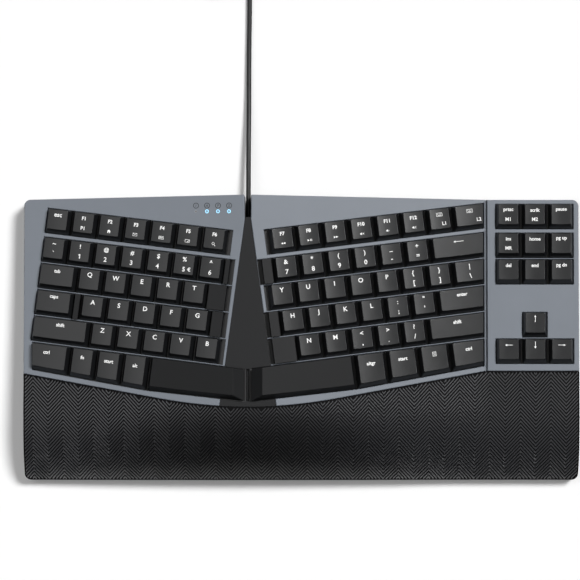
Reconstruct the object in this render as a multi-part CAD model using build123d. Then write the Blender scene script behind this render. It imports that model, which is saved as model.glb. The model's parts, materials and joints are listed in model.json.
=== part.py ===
from build123d import *
from math import cos, hypot, pi, radians, sin, sqrt, tan
import os

# Ergonomic keyboard. X runs to the right, Y to the back, Z up. The origin lies on the desk, under the
# middle of the case, and the cord is left out of that middle. All lengths are millimetres.

# Case outline in plan
case_width = 399.0
side_depth = 202.0
back_peak = 3.2
case_corner = 4.5
notch_width = 4.6
notch_depth = 16.1
notch_corner = 1.0

# Tented key fields: two halves meet over the ridge, a level field lies right of the seam
ridge_offset = 38.3
seam_offset = 132.8
seam_gap = 1.6
tent_angle = 6.5
front_rise = 3.0
key_yaw = 7.0
key_top_height = 24.0
key_field_y = 40.0

# First key cell of each field, its back left corner in plan
left_start_x = 183.28
left_start_y = 94.30
right_start_x = 23.88
right_start_y = 78.61
nav_start_x = 139.10
nav_start_y = 97.07

# Key grid
key_pitch = 19.05
function_gap = 1.7
web_width = 0.75
slot_width = 3.0
row_end_room = 0.2
left_cut_x = 193.6
field_cut_room = 0.4

# Keycap
cap_base = 17.8
cap_height = 5.4
cap_roof = 2.2
cap_wall = 1.2
cap_side_inset = 1.9
cap_back_inset = 0.4
cap_front_inset = 3.2
cap_cut_inset = 0.7
space_end_inset = 7.1
cap_corner = 0.8
cap_edge = 0.4
cap_dish = 0.35
prong_width = 1.1
prong_depth = 3.0
prong_length = 2.4
prong_spacing = 6.4

# Switch
key_travel = 3.0
press_room = 0.4
switch_body = 13.6
switch_flange = 14.2
flange_height = 0.6
stem_width = 10.0
stem_depth = 4.6
stem_foot = 0.5
stem_foot_rim = 0.4
stem_room = 0.1
cover_width = 13.4
cover_top_width = 10.8
cover_roof = 0.8
cover_skirt = 0.6
base_floor = 0.8
base_height = 1.0
spring_width = 3.6
spring_wall = 0.4
spring_room = 0.3
peg_width = 3.2
peg_length = 2.4

# Frame, plate and board
frame_drop = 4.6
frame_skin = 2.2
frame_edge = 0.6
opening_flare = 0.3
plate_thickness = 1.2
plate_margin = 1.0
ledge_width = 1.4
board_inset = 1.0
board_thickness = 1.6
fit_room = 0.2

# Front rim of the key fields, a shallow arc under the ridge with straight runs beside it
rim_front = 48.7
rim_radius = 354.0
rim_arc_half = 62.0
rim_width = 4.0
rim_cap_gap = 0.5
parting_gap = 0.3

# Valley cover
valley_back_half = 1.95
valley_front_half = 20.4
valley_recess = 0.8
valley_depth = 6.0
valley_skin = 2.0
valley_wall = 1.6
post_width = 6.4
post_drop = 3.4

# Palm rest
palm_thickness = 3.0
palm_bend_y = 50.0
palm_front_height = 9.5
palm_front_arch = 4.0
palm_arch_reach = 150.0
ridge_round = 20.0
seam_round = 8.0
palm_seat_gap = 0.2
palm_steps_x = 64
palm_steps_y = 20

# Bottom case
floor_thickness = 2.2
case_wall = 2.4
bay_wall = 3.0
bay_rib = 2.4
foot_proud = 1.2
foot_sunk = 0.8
foot_length = 26.0
foot_width = 8.0
foot_inset_x = 24.0
foot_inset_y = 12.0
foot_corner = 1.5

# Controller board in its pocket under the valley cover
pocket_width = 15.0
pocket_back_wall = 3.0
pocket_length = 52.0
controller_width = 13.0
controller_length = 46.0
controller_lift = 4.0
controller_thickness = 1.2
chip_size = 7.0
chip_height = 1.0
socket_width = 6.0
socket_length = 5.0
socket_height = 3.2
standoff_width = 3.0
ribbon_width = 9.0
ribbon_thickness = 0.3
ribbon_slot = 3.0
ribbon_reach = 14.0
ribbon_back_y = 56.0

# Status lights
light_pipe_width = 1.7
light_pipe_room = 0.05
light_first_x = 76.0
light_pitch = 7.9
light_y = 90.9
light_proud = 0.1
light_board_width = 6.0
light_board_end = 5.0
light_pocket_depth = 8.0

# Screws
screw_shank = 2.2
screw_head = 4.6
screw_head_height = 1.6
screw_seat = 3.0
screw_bite = 2.6
screw_room = 0.2
pilot_room = 0.05

# Cord and plug
cord_width = 3.5
cord_exit_height = 9.0
relief_length = 12.0
relief_base = 4.3
relief_tip = 3.9
relief_flange = 5.6
relief_flange_thickness = 1.5
coil_gap = 0.45
coil_radius = 24.2
plug_width = 15.6
plug_height = 7.6
plug_length = 27.0
plug_corner = 1.6
plug_neck_width = 6.4
plug_neck_length = 7.0
shell_width = 12.0
shell_height = 4.5
shell_length = 17.0
shell_sunk = 5.0
shell_wall = 0.35
tongue_thickness = 1.8
tongue_length = 11.5

overrun = 1.0
reach = 3 * case_width
far_x = case_width
far_y = case_width
far_z = case_width / 4

# Shares and counts
bend_share = 0.45
roll_share = 0.55
rim_rounds = 20
same_direction = 1e-3
samples_per_arc = 16
light_count = 4

ridge_x = -ridge_offset
seam_x = seam_offset
front_y = -(side_depth + back_peak) / 2
side_back_y = front_y + side_depth
peak_y = side_back_y + back_peak
notch_end_y = peak_y - notch_depth
case_bottom = foot_proud
floor_top = case_bottom + floor_thickness

# Levels below the key tops, square to the key field
roof_level = -cap_roof
skirt_level = -cap_height
frame_level = -frame_drop
skin_level = frame_level - frame_skin
plate_level = skirt_level - key_travel - press_room
plate_under = plate_level - plate_thickness
board_level = plate_under - base_height
board_under = board_level - board_thickness
cover_level = roof_level - key_travel - press_room
base_inner = board_level + base_floor
filler_level = roof_level

tent_slope = tan(radians(tent_angle))
rise_slope = tan(radians(front_rise))

nodes = {}


def add(name, *solids):
    """Puts solids under a node's name."""
    nodes.setdefault(name, []).extend(solids)


def tent_rise(x):
    """Height that the tent adds to the level field."""
    if x > seam_x:
        return 0
    return tent_slope * (seam_x - ridge_x - abs(x - ridge_x))


def deck_height(x, y):
    """Height of the key tops over a plan point."""
    return key_top_height + rise_slope * (key_field_y - y) + tent_rise(x)


def deck(x, y, side):
    """Plane on the key tops: local x along a row, local y to the back, local z out of the keys.
    Side is 1 on the left half, -1 on the right half and 0 on the level field."""
    level = Vector(1, 0, side * tent_slope).normalized()
    normal = Vector(-side * tent_slope, rise_slope, 1).normalized()
    turn = radians(-side * key_yaw)
    along = level * cos(turn) + normal.cross(level) * sin(turn)
    return Plane(origin=(x, y, deck_height(x, y)), x_dir=along, z_dir=normal)


left_deck = deck(-left_start_x, left_start_y, 1)
right_deck = deck(-right_start_x, right_start_y, -1)
nav_deck = deck(nav_start_x, nav_start_y, 0)


def on_deck(plane, x, y):
    """Local coordinates of the deck point over a plan point."""
    normal = plane.z_dir
    origin = plane.origin
    z = origin.Z - (normal.X * (x - origin.X) + normal.Y * (y - origin.Y)) / normal.Z
    point = plane.to_local_coords(Vector(x, y, z))
    return point.X, point.Y


def x_line(plane, x, b):
    """Local a where the row line b crosses the plan line at x."""
    return (x - plane.origin.X - b * plane.y_dir.X) / plane.x_dir.X


def rim_y(x):
    """Plan line between the key fields and the palm rest."""
    arc_end = rim_radius - sqrt(rim_radius**2 - rim_arc_half**2)
    slope = rim_arc_half / sqrt(rim_radius**2 - rim_arc_half**2)
    distance = abs(min(x, seam_x) - ridge_x)
    if distance < rim_arc_half:
        return -rim_front + rim_radius - sqrt(rim_radius**2 - distance**2)
    return -rim_front + arc_end + slope * (distance - rim_arc_half)


def rim_b(plane, a, shift):
    """Local b where a column line meets the rim line, moved back by a shift."""
    b = 0
    for _ in range(rim_rounds):
        point = plane.from_local_coords(Vector(a, b, 0))
        b -= point.Y - rim_y(point.X) - shift
    return b


def valley_x(y, side):
    """Plan x of the valley's edge: side -1 is the left edge, 1 the right edge."""
    share = (notch_end_y - y) / (notch_end_y + rim_front)
    return ridge_x + side * (valley_back_half + (valley_front_half - valley_back_half) * share)


def row_back(row):
    """Local b of a row's back edge."""
    return -row * key_pitch - (function_gap if row else 0)


def flat(points):
    """Face through plan points."""
    return make_face(Polyline(*points, close=True))


def prism(face, low, high):
    """Upright solid over a plan face."""
    return extrude(Pos(0, 0, low) * face, amount=high - low, dir=(0, 0, 1))


def raised(plane, face, low, high):
    """Solid over a face given in a deck's own coordinates, between two levels."""
    return plane.location * prism(face, low, high)


def slab(plane, low, high):
    """Everything between two levels of a deck."""
    return plane.location * Pos(0, 0, (low + high) / 2) * Box(reach, reach, high - low)


def block(width, depth, low, high, x=0, y=0):
    """Upright box with its middle over a point."""
    return Pos(x, y, (low + high) / 2) * Box(width, depth, high - low)


def frustum(low_points, low, high_points, high):
    """Solid with straight sides between two outlines with the same number of corners."""
    rings = []
    for points, level in ((low_points, low), (high_points, high)):
        rings.append(Wire.make_polygon([(x, y, level) for x, y in points], close=True))
    return Solid.make_loft(rings, ruled=True)


def square(width, depth, x=0, y=0):
    """Corners of a rectangle, counter-clockwise from the front left."""
    half_x = width / 2
    half_y = depth / 2
    left = x - half_x
    right = x + half_x
    return [(left, y - half_y), (right, y - half_y), (right, y + half_y), (left, y + half_y)]


def inset(points, distances):
    """Moves each side of a convex outline inwards; side i runs from corner i to the next."""
    lines = []
    for i, (x0, y0) in enumerate(points):
        x1, y1 = points[(i + 1) % len(points)]
        length = hypot(x1 - x0, y1 - y0)
        nx = -(y1 - y0) / length
        ny = (x1 - x0) / length
        lines.append((nx, ny, nx * x0 + ny * y0 + distances[i]))
    corners = []
    for i, (d, e, f) in enumerate(lines):
        a, b, c = lines[i - 1]
        det = a * e - b * d
        corners.append(((c * e - b * f) / det, (a * f - c * d) / det))
    return corners


# Runs of keys, row by row from the back: node, first start, count, width, in shares of the key pitch.
# A start or a width of None runs to the line that cuts the field there.
left_run_shares = [
    [("esc_key", 0, 1, 1), ("function_keys_left", 1, 6, 1)],
    [("number_keys_left", 0, 7, 1), ("filler_blocks", 7, 1, 0.22)],
    [("tab_key", 0, 1, 1.5), ("upper_letters_left", 1.5, 5, 1), ("filler_blocks", 6.5, 1, 0.72)],
    [
        ("caps_lock_key", 0, 1, 1.5),
        ("filler_blocks", 1.5, 1, 0.25),
        ("home_letters_left", 1.75, 5, 1),
        ("filler_blocks", 6.75, 1, 0.47),
    ],
    [("shift_key_left", 0, 1, 2.25), ("lower_letters_left", 2.25, 5, 1)],
    [
        ("ctrl_key_left", None, 1, 1.62),
        ("modifier_keys_left", 1.62, 3, 1.01),
        ("space_bar_left", 4.65, 1, None),
    ],
]
right_run_shares = [
    [("function_keys_right", 0, 7, 1), ("function_keys_right", 7, 1, None)],
    [("filler_blocks", -0.4, 1, 0.4), ("number_keys_right", 0, 6, 1), ("backspace_key", 6, 1, None)],
    [("upper_letters_right", -0.28, 7, 1), ("backslash_key", 6.72, 1, None)],
    [("filler_blocks", -0.4, 1, 0.4), ("home_letters_right", 0, 6, 1), ("enter_key", 6, 1, None)],
    [("filler_blocks", -0.4, 1, 0.9), ("lower_letters_right", 0.5, 5, 1), ("shift_key_right", 5.5, 1, None)],
    [
        ("space_bar_right", None, 1, 2.6),
        ("modifier_keys_right", 2.6, 3, 1.2133),
        ("ctrl_key_right", 6.24, 1, None),
    ],
]
nav_run_shares = [
    [("navigation_keys", 0, 3, 1)],
    [("navigation_keys", 0, 3, 1)],
    [("navigation_keys", 0, 3, 1)],
    [],
    [("up_arrow_key", 1, 1, 1)],
    [("left_arrow_key", 0, 1, 1), ("down_arrow_key", 1, 1, 1), ("right_arrow_key", 2, 1, 1)],
]
link_column_shares = (1, 2)
bottom_row = len(left_run_shares) - 1
post_left_x = ridge_x - post_width / 2
post_right_x = ridge_x + post_width / 2


def cell(plane, row, start, end, low_cut, high_cut, bottom_curved, side_gap, rim_gap):
    """Outline of a run of cells, counter-clockwise from the front left corner.
    An end of None lies on the plan line given for that side."""
    back = row_back(row) - side_gap
    front = row_back(row) - key_pitch + side_gap
    left = None if start is None else start * key_pitch + side_gap
    right = None if end is None else end * key_pitch - side_gap
    curved = bottom_curved and row == bottom_row
    corners = []
    for a, cut in ((left, low_cut), (right, high_cut)):
        if a is None:
            front_corner = (x_line(plane, cut, front), front)
            if curved:
                front_corner = on_deck(plane, cut, rim_y(cut) + rim_gap)
            corners.append((front_corner, (x_line(plane, cut, back), back)))
        else:
            front_corner = (a, rim_b(plane, a, rim_gap)) if curved else (a, front)
            corners.append((front_corner, (a, back)))
    return [corners[0][0], corners[1][0], corners[1][1], corners[0][1]]


def keycap(base, insets, switch_x, switch_y):
    """Hollow cap with sloped sides, a shallow dish and two prongs for the switch stem."""
    top = inset(base, insets)
    body = Part() + frustum(base, skirt_level, top, 0)
    body = fillet([e for e in body.edges() if e.bounding_box().size.Z > cap_height / 2], cap_corner)
    top_left = min(x for x, _ in top)
    top_right = max(x for x, _ in top)
    half = (top_right - top_left) / 2 + cap_edge
    radius = (half**2 + cap_dish**2) / (2 * cap_dish)
    dish_spot = Pos((top_left + top_right) / 2, switch_y, radius - cap_dish)
    body -= dish_spot * Rot(90, 0, 0) * Cylinder(radius, 2 * cap_base)
    body = fillet(body.faces().sort_by(Axis.Z)[-1].edges(), cap_edge)
    skirt_depth = cap_height - cap_roof
    low = inset(base, [cap_wall - amount * overrun / cap_height for amount in insets])
    high = inset(base, [cap_wall + amount * skirt_depth / cap_height for amount in insets])
    body -= frustum(low, skirt_level - overrun, high, roof_level)
    for side in (-1, 1):
        x = switch_x + side * prong_spacing / 2
        body += block(prong_width, prong_depth, roof_level - prong_length, roof_level, x, switch_y)
    return body.solid()


def switch_stem():
    """Stem with two slots for the cap's prongs, a foot under the cover and a pocket for the spring."""
    low = roof_level - key_travel - press_room - cover_roof - stem_room
    foot = low - stem_foot
    stem = block(stem_width, stem_depth, foot, roof_level)
    stem += block(stem_width + 2 * stem_foot_rim, stem_depth + 2 * stem_foot_rim, foot, low)
    slot_low = roof_level - prong_length - stem_room
    for side in (-1, 1):
        slot = block(
            prong_width + 2 * stem_room,
            prong_depth + 2 * stem_room,
            slot_low,
            roof_level + overrun,
            side * prong_spacing / 2,
        )
        stem -= slot
    pocket = spring_width + 2 * stem_room
    stem -= block(pocket, pocket, foot - overrun, roof_level - cap_wall)
    return stem.solid()


def inner_room(low, high):
    """Space in a switch that its stem slides in."""
    width = stem_width + 2 * stem_foot_rim + 2 * stem_room
    depth = stem_depth + 2 * stem_foot_rim + 2 * stem_room
    return block(width, depth, low, high)


def switch_base():
    """Lower housing: a flange on the plate, a tray for the stem and a locating peg."""
    base = block(switch_flange, switch_flange, plate_level, plate_level + flange_height)
    base += block(switch_body, switch_body, board_level, plate_level)
    base += block(peg_width, peg_width, board_level - peg_length, board_level)
    base -= inner_room(base_inner, plate_level + flange_height + overrun)
    return base.solid()


def switch_cover():
    """Upper housing: a tapered shell with a window for the stem."""
    low = plate_level + flange_height
    shoulder = low + cover_skirt
    cover = block(cover_width, cover_width, low, shoulder)
    cover_base = square(cover_width, cover_width)
    cover_top = square(cover_top_width, cover_top_width)
    cover += frustum(cover_base, shoulder, cover_top, cover_level)
    cover -= inner_room(low - overrun, cover_level - cover_roof)
    window_x = stem_width + 2 * stem_room
    window_y = stem_depth + 2 * stem_room
    cover -= block(window_x, window_y, low, cover_level + overrun)
    return cover.solid()


def key_spring():
    """Return spring, drawn as a sleeve of its pressed length."""
    high = roof_level - cap_wall - key_travel - spring_room
    inner = spring_width - 2 * spring_wall
    spring = block(spring_width, spring_width, base_inner, high) - block(inner, inner, base_inner, high)
    return spring.solid()


stem_shape = switch_stem()
base_shape = switch_base()
cover_shape = switch_cover()
spring_shape = key_spring()
cell_margin = (key_pitch - cap_base) / 2
plain_cap = keycap(
    square(cap_base, cap_base),
    [cap_front_inset, cap_side_inset, cap_back_inset, cap_side_inset],
    0,
    0,
)
switch_places = {}


def fill_field(field, plane, runs, low_cut, high_cut, curved):
    """Makes the caps, stems, switches and filler blocks of one key field."""
    places = switch_places.setdefault(field, [])
    for row, row_runs in enumerate(runs):
        middle = row_back(row) - key_pitch / 2
        for node, first, count, width in row_runs:
            for i in range(count):
                start = None if first is None else first + (width or 0) * i
                end = width if first is None else (None if width is None else start + width)
                rim_gap = rim_width + rim_cap_gap
                outline = cell(plane, row, start, end, low_cut, high_cut, curved, cell_margin, rim_gap)
                if node == "filler_blocks":
                    add(node, raised(plane, flat(outline), plate_level, filler_level).solid())
                    continue
                insets = [cap_front_inset, cap_side_inset, cap_back_inset, cap_side_inset]
                if start is None:
                    insets[3] = space_end_inset if node.startswith("space") else cap_cut_inset
                if end is None:
                    insets[1] = space_end_inset if node.startswith("space") else cap_cut_inset
                switch_x = (outline[2][0] + outline[3][0]) / 2
                plain = width == 1 and not (curved and row == bottom_row)
                if plain:
                    cap = plane.location * Pos(switch_x, middle, 0) * plain_cap
                else:
                    cap = plane.location * keycap(outline, insets, switch_x, middle)
                spot = plane.location * Pos(switch_x, middle, 0)
                add(node, cap, spot * stem_shape)
                places.append(spot)


fill_field("left", left_deck, left_run_shares, -left_cut_x, post_left_x - row_end_room, True)
fill_field("right", right_deck, right_run_shares, post_right_x + row_end_room, seam_x - seam_gap, True)
fill_field("nav", nav_deck, nav_run_shares, 0, 0, False)

for spot in switch_places["left"] + switch_places["right"] + switch_places["nav"]:
    add("switch_bases", spot * base_shape)
    add("switch_covers", spot * cover_shape)
    add("key_springs", spot * spring_shape)

half_cut_x = seam_x - seam_gap / 2
nav_cut_x = seam_x + seam_gap / 2


def case_outline(shift=0):
    """Plan face of the case, drawn in by a distance all round, with the cord's notch at the back."""
    notch_left = ridge_x - notch_width / 2 - shift
    notch_right = ridge_x + notch_width / 2 + shift
    half = case_width / 2 - shift
    front = front_y + shift
    side_back = side_back_y - shift
    peak = peak_y - shift
    notch_end = notch_end_y - shift
    points = [
        (-half, front),
        (half, front),
        (half, side_back),
        (seam_x, side_back),
        (notch_right, peak),
        (notch_right, notch_end),
        (notch_left, notch_end),
        (notch_left, peak),
        (-half, side_back),
    ]
    outline = flat(points)
    outer = [v for v in outline.vertices() if abs(abs(v.X) - half) < overrun / 2]
    outline = fillet(outer, case_corner)
    lips = [v for v in outline.vertices() if abs(v.Y - peak) < overrun / 2]
    return fillet(lips, notch_corner)


def behind_rim(shift):
    """Plan area behind the rim line, moved back by a distance."""
    arc_left = ridge_x - rim_arc_half
    arc_right = ridge_x + rim_arc_half
    left = (-far_x, rim_y(-far_x) + shift)
    start = (arc_left, rim_y(arc_left) + shift)
    middle = (ridge_x, rim_y(ridge_x) + shift)
    end = (arc_right, rim_y(arc_right) + shift)
    seam = (seam_x, rim_y(seam_x) + shift)
    right = (far_x, seam[1])
    edge = [
        Line(left, start),
        ThreePointArc(start, middle, end),
        Polyline(end, seam, right, (far_x, far_y), (-far_x, far_y), left),
    ]
    return make_face(edge)


def between(left_points, right_points):
    """Plan area between two lines, each given from the front to the back."""
    return flat(left_points + right_points[::-1])


def valley_line(side, shift):
    """Valley edge from the front to the back, moved out by a distance, then on along the notch."""
    front = (valley_x(-far_y, side) + side * shift, -far_y)
    back = (valley_x(notch_end_y, side) + side * shift, notch_end_y)
    return [front, back, (back[0], far_y)]


def upright_line(x):
    """Plan line at x, from the front to the back."""
    return [(x, -far_y), (x, far_y)]


whole_outline = case_outline()
left_side = between(upright_line(-far_x), valley_line(-1, 0))
right_side = between(valley_line(1, 0), upright_line(half_cut_x))
nav_side = between(upright_line(nav_cut_x), upright_line(far_x))


def opening_faces(plane, runs, low_cut, high_cut, knee_share):
    """Row openings of a field and the joined area below them, in the deck's coordinates.
    A half's front opening bends at the outer end of its space bar, a share of the key pitch."""
    curved = knee_share is not None
    openings = []
    field = None
    for row, row_runs in enumerate(runs):
        start, end = link_column_shares
        if row_runs:
            start = row_runs[0][1]
            last = row_runs[-1]
            end = None if last[3] is None else last[1] + last[2] * last[3]
            if curved and start is not None and (start != 0 or plane is right_deck):
                start -= slot_width / key_pitch
            if curved and end is not None:
                end += slot_width / key_pitch
        gap = web_width / 2
        opening = cell(plane, row, start, end, low_cut, high_cut, curved, gap, rim_width)
        if curved and row == bottom_row:
            knee = knee_share * key_pitch
            opening.insert(1, (knee, rim_b(plane, knee, rim_width)))
        if row_runs:
            openings.append(opening)
        deep = list(opening)
        if row + 1 < len(runs):
            next_back = row_back(row + 1) - gap
            deep = [(opening[0][0], next_back), (opening[1][0], next_back), opening[2], opening[3]]
        face = flat(deep)
        field = face if field is None else field + face
    return openings, field


def field_cut_openings(plane, openings):
    """Solids that cut the flared row openings out of a frame."""
    solids = []
    for opening in openings:
        solids.append(raised(plane, flat(opening), plate_level - overrun, overrun))
        flared = inset(opening, [-opening_flare] * len(opening))
        low = frame_level - opening_flare
        solids.append(plane.location * frustum(opening, low, flared, frame_level))
    return solids


left_knee_share = left_run_shares[bottom_row][-1][1]
right_knee_share = right_run_shares[bottom_row][0][3]
left_openings, left_field = opening_faces(
    left_deck, left_run_shares, -left_cut_x - field_cut_room, post_left_x, left_knee_share
)
right_openings, right_field = opening_faces(
    right_deck, right_run_shares, post_right_x, half_cut_x, right_knee_share
)
nav_openings, nav_field = opening_faces(nav_deck, nav_run_shares, 0, 0, None)


def frame_piece(plane, zone, openings, field):
    """Top frame of one field: a slab with flared row openings over a joined pocket."""
    area = zone & whole_outline & behind_rim(parting_gap / 2)
    shell = prism(area, 0, far_x) & slab(plane, plate_level, frame_level)
    top = [f for f in shell.faces() if (f.normal_at() - plane.z_dir).length < same_direction]
    shell = fillet(top[0].edges(), frame_edge)
    for cutter in field_cut_openings(plane, openings):
        shell -= cutter
    return shell - raised(plane, field, plate_level - overrun, skin_level)


def plate_piece(plane, field, places):
    """Switch plate with a square hole for each switch."""
    plate = raised(plane, offset(field, plate_margin, kind=Kind.INTERSECTION), plate_under, plate_level)
    hole = switch_body + stem_room
    cutter = block(hole, hole, plate_under - overrun, plate_level + overrun)
    return plate - [spot * cutter for spot in places]


def board_piece(plane, field, places):
    """Circuit board under the switches, with a hole for each locating peg."""
    board = raised(plane, offset(field, -board_inset, kind=Kind.INTERSECTION), board_under, board_level)
    hole = peg_width + stem_room
    cutter = block(hole, hole, board_under - overrun, board_level + overrun)
    return board - [spot * cutter for spot in places]


def plate_recess(plane, field):
    """Room for the plate and all above it."""
    area = offset(field, plate_margin + fit_room, kind=Kind.INTERSECTION)
    return raised(plane, area, plate_under, 2 * far_z)


def board_cavity(plane, field):
    """Room under the plate, down to the floor of the case."""
    area = offset(field, plate_margin - ledge_width, kind=Kind.INTERSECTION)
    return raised(plane, area, -far_z, plate_under + overrun) & block(reach, reach, floor_top, 2 * far_z)


fields = {
    "left": (left_deck, left_openings, left_field, left_side),
    "right": (right_deck, right_openings, right_field, right_side),
    "nav": (nav_deck, nav_openings, nav_field, nav_side),
}
frames = {}
for name, (plane, openings, field, zone) in fields.items():
    frames[name] = frame_piece(plane, zone, openings, field)
    add(f"switch_plate_{name}", plate_piece(plane, field, switch_places[name]).solid())
    add(f"circuit_board_{name}", board_piece(plane, field, switch_places[name]).solid())

# A low bar in the groove at the seam ties the ends of the right frame's webs
tie_zone = between(upright_line(half_cut_x - fit_room), upright_line(nav_cut_x - fit_room))
tie_zone = tie_zone & whole_outline & behind_rim(parting_gap / 2)
frames["right"] += prism(tie_zone, 0, far_x) & slab(right_deck, plate_level, skin_level)


# Valley cover: its top falls to the front so that both edges lie a little below the frames
def valley_plane():
    """Plane of the valley cover's top, level from side to side."""
    stretch = sqrt(1 + tent_slope**2 + rise_slope**2)
    ends = []
    for y in (notch_end_y, -rim_front):
        height = deck_height(valley_x(y, -1), y) + frame_level * stretch - valley_recess
        ends.append(Vector(ridge_x, y, height))
    back = (ends[0] - ends[1]).normalized()
    return Plane(origin=ends[1], x_dir=(1, 0, 0), z_dir=Vector(1, 0, 0).cross(back))


cover_plane = valley_plane()
cover_zone = between(valley_line(-1, -parting_gap / 2), valley_line(1, -parting_gap / 2))
cover_zone = cover_zone & whole_outline & behind_rim(parting_gap / 2)
cover = prism(cover_zone, 0, far_x) & slab(cover_plane, -valley_depth, 0)
hollow_front = rim_y(ridge_x) + rim_width + 2 * key_pitch
hollow_back = notch_end_y - valley_wall
hollow_zone = between(valley_line(-1, -valley_wall), valley_line(1, -valley_wall))
hollow_middle = (hollow_back + hollow_front) / 2
hollow_zone = hollow_zone & flat(square(far_x, hollow_back - hollow_front, 0, hollow_middle))
cover -= prism(hollow_zone, 0, far_x) & slab(cover_plane, -valley_depth - overrun, -valley_skin)
post_depth = key_pitch + rim_width
post_y = rim_y(ridge_x) + rim_width + post_depth / 2
post_zone = flat(square(post_width + 2 * overrun, post_depth, ridge_x, post_y))
cover -= prism(post_zone, 0, far_x) & slab(cover_plane, -post_drop, far_z)
for plane, openings, field, zone in list(fields.values())[:2]:
    plate_area = offset(field, plate_margin + fit_room, kind=Kind.INTERSECTION)
    cover -= raised(plane, field, -far_z / 2, far_z / 2)
    cover -= raised(plane, plate_area, -far_z / 2, plate_level)
add("valley_cover", cover.solid())


def palm_tent(x):
    """Tent of the palm rest, rounded over the ridge and at the seam."""
    distance = abs(x - ridge_x)
    if distance < ridge_round:
        lowered = (ridge_round - distance) ** 2 / (2 * ridge_round)
        return tent_rise(x) - tent_slope * lowered
    distance = abs(x - seam_x)
    if distance < seam_round:
        return tent_rise(x) + tent_slope * (seam_round - distance) ** 2 / (4 * seam_round)
    return tent_rise(x)


def palm_height(x, y):
    """Height of the palm rest's top: level with the frames, then rolling down to the front edge."""
    share = max(0, (-palm_bend_y - y) / (-palm_bend_y - front_y))
    roll = roll_share * share**2 + (1 - roll_share) * share**4
    drop = frame_level * sqrt(1 + tent_slope**2 + rise_slope**2)
    rest = key_top_height + rise_slope * (key_field_y - y) + palm_tent(x) + drop
    arch = palm_front_arch * max(0, 1 - ((x - ridge_x) / palm_arch_reach) ** 2)
    return rest * (1 - roll) + (palm_front_height + arch) * roll


def palm_surface(shift):
    """Smooth face through the palm rest's top, moved by a height."""
    half = case_width / 2 + overrun
    low = front_y - overrun
    high = rim_y(seam_x) + overrun
    rows = []
    for i in range(palm_steps_x + 1):
        x = -half + 2 * half * i / palm_steps_x
        column = []
        for j in range(palm_steps_y + 1):
            y = low + (high - low) * j / palm_steps_y
            column.append(Vector(x, y, palm_height(x, y) + shift))
        rows.append(column)
    return Face.make_surface_from_array_of_points(rows)


palm_zone = whole_outline - behind_rim(-parting_gap / 2)
palm = Part() + Solid.extrude(palm_surface(-palm_thickness), Vector(0, 0, palm_thickness))
palm = palm & prism(palm_zone, -far_x, far_x)


# Bottom case: five zones under the pieces that they carry
def under(plane, level):
    """Everything below a level of a deck."""
    return plane.location * block(reach, reach, level - reach, level)


carried = whole_outline & behind_rim(0)
valley_zone = between(valley_line(-1, 0), valley_line(1, 0)) & carried
left_zone = left_side & carried
right_zone = between(valley_line(1, 0), upright_line(seam_x)) & carried
nav_zone = between(upright_line(seam_x), upright_line(far_x)) & carried
case = prism(left_zone, case_bottom, far_z) & under(left_deck, plate_level)
case += prism(right_zone, case_bottom, far_z) & under(right_deck, plate_level)
case += prism(nav_zone, case_bottom, far_z) & under(nav_deck, plate_level)
case += prism(valley_zone, case_bottom, far_z) & under(cover_plane, -valley_depth)
front_zone = whole_outline - behind_rim(0)
above_palm = Solid.extrude(palm_surface(-palm_thickness - palm_seat_gap), Vector(0, 0, far_z))
bay_zone = case_outline(case_wall) - behind_rim(-bay_wall)
front = prism(front_zone, case_bottom, far_z) - prism(bay_zone, floor_top, 2 * far_z)
bay_rib_shares = (-0.3, -0.096, 0.11, 0.333)
for share in bay_rib_shares:
    rib = flat(square(bay_rib, side_depth, share * case_width, front_y)) & front_zone
    front += prism(rib, case_bottom, far_z)
palm_screw_shares = ((-0.44, -0.3), (-0.2, -0.33), (0.0, -0.35), (0.2, -0.33), (0.44, -0.3))
for share_x, share_y in palm_screw_shares:
    boss = Pos(share_x * case_width, share_y * side_depth) * Circle(screw_head)
    front += prism(boss, case_bottom, far_z)
case += front - above_palm
for plane, openings, field, zone in fields.values():
    case -= plate_recess(plane, field)
    case -= board_cavity(plane, field)

# Pocket for the controller board, with slots for the ribbon links
pocket_back = notch_end_y - pocket_back_wall
pocket_y = pocket_back - pocket_length / 2
case -= block(pocket_width, pocket_length, floor_top, far_z, ridge_x, pocket_y)
controller_low = floor_top + controller_lift
for side in (-1, 1):
    y = pocket_y + side * (controller_length / 2 - standoff_width)
    case += block(standoff_width, standoff_width, case_bottom + overrun / 2, controller_low, ridge_x, y)
part_low = controller_low + controller_thickness
controller = block(controller_width, controller_length, controller_low, part_low, ridge_x, pocket_y)
controller += block(chip_size, chip_size, part_low, part_low + chip_height, ridge_x, pocket_y - chip_size)
socket_y = pocket_y + controller_length / 2 - socket_length
controller += block(socket_width, socket_length, part_low, part_low + socket_height, ridge_x, socket_y)
add("controller_board", controller.solid())


# Ribbon links: from the controller board up to the boards of both halves, and on to the level field
def ribbon(points, y):
    """Flat link along points in the XZ plane, as wide as the ribbon."""
    strip = trace(Polyline(*points), ribbon_thickness)
    return extrude(Plane.XZ.offset(-y - ribbon_width / 2).location * strip, amount=ribbon_width).solid()


def board_underside(x, y):
    """Height of a board's underside over a plan point."""
    side = tent_slope if x < seam_x else 0
    return deck_height(x, y) + board_under * sqrt(1 + side**2 + rise_slope**2)


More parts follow.
